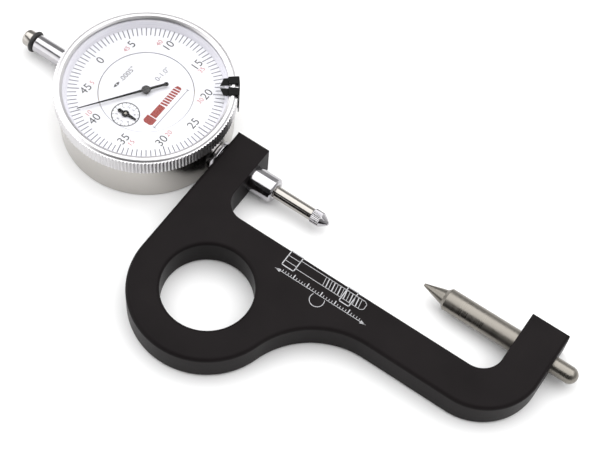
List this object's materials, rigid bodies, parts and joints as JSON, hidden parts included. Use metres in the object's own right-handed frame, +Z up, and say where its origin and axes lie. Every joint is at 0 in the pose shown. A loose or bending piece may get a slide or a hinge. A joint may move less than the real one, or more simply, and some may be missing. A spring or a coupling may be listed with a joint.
{
  "type": "bolt stretch gauge with dial indicator",
  "caption": "C-shaped hand frame with a finger ring, a plunger dial indicator held in one leg and a pointed adjustable anvil in the other, for measuring bolt stretch.",
  "frame": {"origin": "centre of the dial indicator's back cover, on the surface the gauge lies on", "axes": "+X along the spindle from the dial towards the anvil, +Y across the frame away from the finger ring, +Z up out of the dial face"},
  "size_m": [0.2062, 0.0937, 0.0209],
  "materials": {
    "black_anodised": "satin black anodised aluminium, edges rounded",
    "case_silver": "satin silver",
    "chrome": "bright",
    "steel": "fine turned",
    "brass": "satin",
    "black_steel": "black oxide",
    "dial_white": "matt white enamel",
    "spacer_grey": "satin grey",
    "glass": "clear",
    "rubber": "matt black",
    "black_paint": "matt black"
  },
  "bodies": {
    "gauge_body": {"gauge_frame": "black_anodised", "indicator_case": "case_silver", "back_cover": "case_silver", "stem": "chrome", "top_barrel": "chrome", "main_plate": "brass", "front_bridge": "brass", "rear_bridge": "brass", "guide_track": "brass", "hairspring_post": "brass", "dial_foot_1": "brass", "dial_foot_2": "brass", "hairspring": "steel", "spring_post": "steel", "return_spring": "steel", "dial_plate": "dial_white", "cover_screw_1": "steel", "plate_screw_1": "steel", "bridge_pillar_1": "steel", "cover_screw_2": "steel", "plate_screw_2": "steel", "bridge_pillar_2": "steel", "cover_screw_3": "steel", "plate_screw_3": "steel", "bridge_pillar_3": "steel", "cover_screw_4": "steel", "plate_screw_4": "steel", "bridge_pillar_4": "steel", "rear_pillar_1": "steel", "rear_pillar_2": "steel"},
    "spindle_group": {"spindle": "steel", "contact_point": "chrome", "lifting_cap": "steel", "bumper_ring": "rubber", "guide_pin": "steel"},
    "rack_arbor_group": {"rack_pinion": "steel", "rack_wheel": "brass"},
    "centre_arbor_group": {"centre_pinion": "steel", "long_pointer": "black_paint", "pointer_hub": "black_steel"},
    "take_up_group": {"take_up_arbor": "steel", "take_up_wheel": "brass", "small_pointer": "black_paint"},
    "bezel_group": {"bezel": "chrome", "crystal": "glass", "dial_ring": "dial_white", "dial_spacer": "spacer_grey"},
    "far_clip": {"limit_clip_far": "black_paint"},
    "near_clip": {"limit_clip_near": "black_paint"},
    "anvil_group": {"anvil": "steel"},
    "stem_screw": {"stem_clamp_screw": "black_steel"},
    "anvil_screw": {"anvil_clamp_screw": "black_steel"}
  },
  "joints": [
    {"name": "spindle_travel", "type": "slide", "parent": "gauge_body", "child": "spindle_group", "axis": [-1, 0, 0], "range_m": [0, 0.0136], "stiffness_N_per_m": 20, "springref_m": -0.05, "deforming": ["return_spring"]},
    {"name": "rack_arbor_turn", "type": "hinge", "parent": "gauge_body", "child": "rack_arbor_group", "pos_m": [-0.00984, -0.00352, 0], "axis": [0, 0, 1], "range_deg": [-5, 391]},
    {"name": "centre_arbor_turn", "type": "hinge", "parent": "gauge_body", "child": "centre_arbor_group", "pos_m": [0, 0, 0], "axis": [0, 0, 1], "range_deg": [-3905, 50]},
    {"name": "take_up_turn", "type": "hinge", "parent": "gauge_body", "child": "take_up_group", "pos_m": [0, -0.01045, 0], "axis": [0, 0, 1], "range_deg": [-5, 391], "deforming": ["hairspring"]},
    {"name": "bezel_turn", "type": "hinge", "parent": "gauge_body", "child": "bezel_group", "pos_m": [0, 0, 0], "axis": [0, 0, 1], "continuous": true},
    {"name": "far_clip_slide_round", "type": "hinge", "parent": "bezel_group", "child": "far_clip", "pos_m": [0, 0, 0], "axis": [0, 0, 1], "range_deg": [-0.5, 165]},
    {"name": "near_clip_slide_round", "type": "hinge", "parent": "bezel_group", "child": "near_clip", "pos_m": [0, 0, 0], "axis": [0, 0, 1], "range_deg": [-165, 0.5]},
    {"name": "anvil_slide", "type": "slide", "parent": "gauge_body", "child": "anvil_group", "axis": [-1, 0, 0], "range_m": [0, 0.006]},
    {"name": "stem_clamp_turn", "type": "hinge", "parent": "gauge_body", "child": "stem_screw", "pos_m": [0.03545, 0.006, 0.00535], "axis": [0, 1, 0], "range_deg": [0, 360]},
    {"name": "anvil_clamp_turn", "type": "hinge", "parent": "gauge_body", "child": "anvil_screw", "pos_m": [0.14, 0.006, 0.00535], "axis": [0, 1, 0], "range_deg": [0, 360]}
  ],
  "couplings": [
    {"joint": "rack_arbor_turn", "follows": "spindle_travel", "rad_per_m": 494.74},
    {"joint": "centre_arbor_turn", "follows": "spindle_travel", "rad_per_m": -4947.4},
    {"joint": "take_up_turn", "follows": "spindle_travel", "rad_per_m": 494.74}
  ]
}
